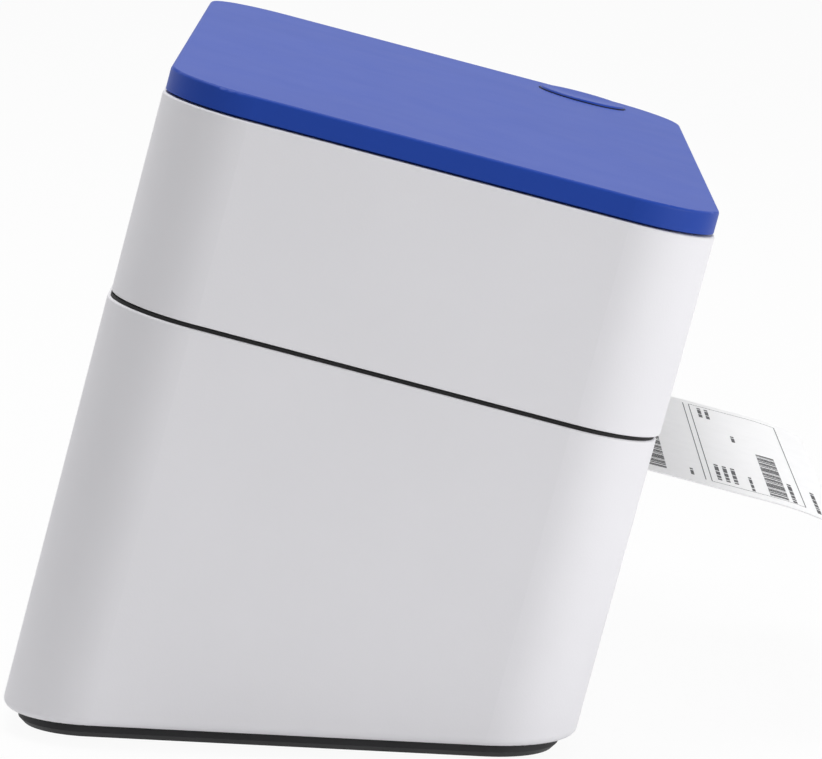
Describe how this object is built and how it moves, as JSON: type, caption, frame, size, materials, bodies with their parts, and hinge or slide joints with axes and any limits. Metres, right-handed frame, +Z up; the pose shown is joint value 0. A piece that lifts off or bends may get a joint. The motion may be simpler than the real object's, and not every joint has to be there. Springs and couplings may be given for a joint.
{
  "type": "thermal label printer",
  "caption": "Desktop direct-thermal label printer with a leaning moulded case, hinged cover over a print head and platen roller, sliding media guides and a front label exit.",
  "frame": {"origin": "on the table, under the middle of the overall box, label included", "axes": "+Z up; +Y towards the rear feed slot, -Y towards the label exit; +X towards the feed button's side"},
  "size_m": [0.181, 0.1486, 0.1191],
  "materials": {
    "white_plastic": "fine matte",
    "blue_plastic": "satin",
    "black_plastic": "matte",
    "grey_plastic": "matte",
    "gear_plastic": "natural acetal",
    "rubber": "matte",
    "steel": "brushed",
    "bright_steel": "bright",
    "bronze": "sintered",
    "aluminium": "satin",
    "board_green": "solder mask",
    "ceramic": "glazed",
    "paper": "coated paper"
  },
  "bodies": {
    "base": {"base_plate": "black_plastic", "board_components": "black_plastic", "board_screws": "steel", "case_screws": "steel", "cover_sensor": "black_plastic", "data_socket": "steel", "deck_screws": "steel", "gap_sensor": "black_plastic", "hinge_pins": "bright_steel", "idler_stud": "bright_steel", "left_side_plate": "steel", "lower_case": "white_plastic", "main_board": "board_green", "media_deck": "black_plastic", "motor_screws": "steel", "pinion_screw": "steel", "platen_bushes": "bronze", "power_socket": "black_plastic", "right_side_plate": "steel", "rubber_feet": "rubber", "stepper_motor": "steel", "switch_housing": "black_plastic"},
    "cover": {"upper_case": "white_plastic", "top_lid": "blue_plastic", "cover_frame": "black_plastic", "cover_screws": "steel", "tear_bar": "bright_steel", "head_rod": "bright_steel", "upper_gap_sensor": "black_plastic", "button_board": "board_green", "button_switch": "black_plastic", "head_springs": "bright_steel"},
    "head": {"head_carrier": "aluminium", "print_head": "ceramic", "head_connector": "black_plastic"},
    "button": {"feed_button": "blue_plastic"},
    "platen": {"platen_shaft": "bright_steel", "platen_roller": "rubber", "platen_gear": "gear_plastic"},
    "idler": {"idler_gear": "gear_plastic"},
    "motor_rotor": {"motor_pinion": "bronze"},
    "label": {"label_strip": "paper"},
    "guide_left": {"left_guide": "grey_plastic"},
    "guide_right": {"right_guide": "grey_plastic"},
    "guide_wheel": {"guide_pinion": "gear_plastic"},
    "rocker": {"power_rocker": "black_plastic"}
  },
  "joints": [
    {"name": "cover_hinge", "type": "hinge", "parent": "base", "child": "cover", "pos_m": [0, 0.05792, 0.07872], "axis": [-1, 0, 0], "range_deg": [0, 85]},
    {"name": "head_float", "type": "hinge", "parent": "cover", "child": "head", "pos_m": [0, -0.00812, 0.07532], "axis": [-1, 0, 0], "range_deg": [0, 2.5], "stiffness_Nm_per_rad": 0.9, "springref_deg": -11.46, "deforming": ["head_springs"]},
    {"name": "feed_press", "type": "slide", "parent": "cover", "child": "button", "axis": [0, 0.2079, -0.9781], "range_m": [0, 0.0008], "stiffness_N_per_m": 600, "springref_m": -0.0008},
    {"name": "label_feed", "type": "slide", "parent": "base", "child": "label", "axis": [0, -0.9781, -0.2079], "range_m": [0, 0.022]},
    {"name": "platen_spin", "type": "hinge", "parent": "base", "child": "platen", "pos_m": [0, -0.02169, 0.04299], "axis": [1, 0, 0], "continuous": true},
    {"name": "idler_spin", "type": "hinge", "parent": "base", "child": "idler", "pos_m": [0, -0.01206, 0.03229], "axis": [1, 0, 0], "continuous": true},
    {"name": "motor_spin", "type": "hinge", "parent": "base", "child": "motor_rotor", "pos_m": [0, 0.00537, 0.02984], "axis": [1, 0, 0], "continuous": true},
    {"name": "guide_left_slide", "type": "slide", "parent": "base", "child": "guide_left", "axis": [1, 0, 0], "range_m": [0, 0.026]},
    {"name": "guide_right_slide", "type": "slide", "parent": "base", "child": "guide_right", "axis": [-1, 0, 0], "range_m": [0, 0.026]},
    {"name": "guide_pinion_spin", "type": "hinge", "parent": "base", "child": "guide_wheel", "pos_m": [0, 0.02965, 0.05635], "axis": [0, -0.2079, 0.9781], "continuous": true},
    {"name": "rocker_tilt", "type": "hinge", "parent": "base", "child": "rocker", "pos_m": [0.061, 0.0669, 0.0336], "axis": [1, 0, 0], "range_deg": [0, 18]}
  ],
  "couplings": [
    {"joint": "platen_spin", "follows": "label_feed", "rad_per_m": 125},
    {"joint": "idler_spin", "follows": "label_feed", "rad_per_m": -156.25},
    {"joint": "motor_spin", "follows": "label_feed", "rad_per_m": 416.67},
    {"joint": "guide_right_slide", "follows": "guide_left_slide", "ratio": 1},
    {"joint": "guide_pinion_spin", "follows": "guide_left_slide", "rad_per_m": 166.67}
  ]
}
